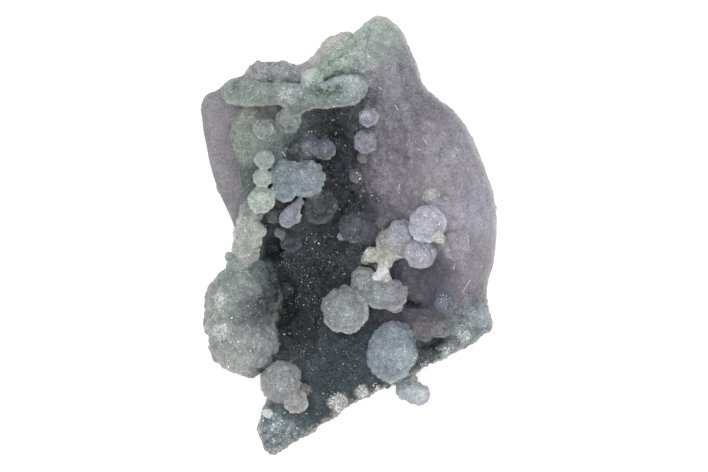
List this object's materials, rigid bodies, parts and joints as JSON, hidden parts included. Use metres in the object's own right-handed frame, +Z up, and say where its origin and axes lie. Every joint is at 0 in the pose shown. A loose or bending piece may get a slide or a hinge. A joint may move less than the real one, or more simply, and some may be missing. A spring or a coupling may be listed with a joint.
{
  "type": "grape agate specimen",
  "caption": "Rough grape agate: a druzy chalcedony plate with round beads and fingers grown on its front, lying on its back on a flat cut.",
  "frame": {"origin": "middle of the specimen's length and width, on the flat cut at its back that it rests on", "axes": "+Z up, out of the beaded front; +Y along its length to the rounded top; +X to the domed right flank"},
  "size_m": [0.0594, 0.088, 0.0219],
  "materials": {
    "chalcedony": "natural druzy skin, grey-purple to grey-green, waxy and faintly translucent with a fine quartz sparkle"
  },
  "bodies": {
    "root": {"grape_agate": "chalcedony"}
  },
  "joints": []
}
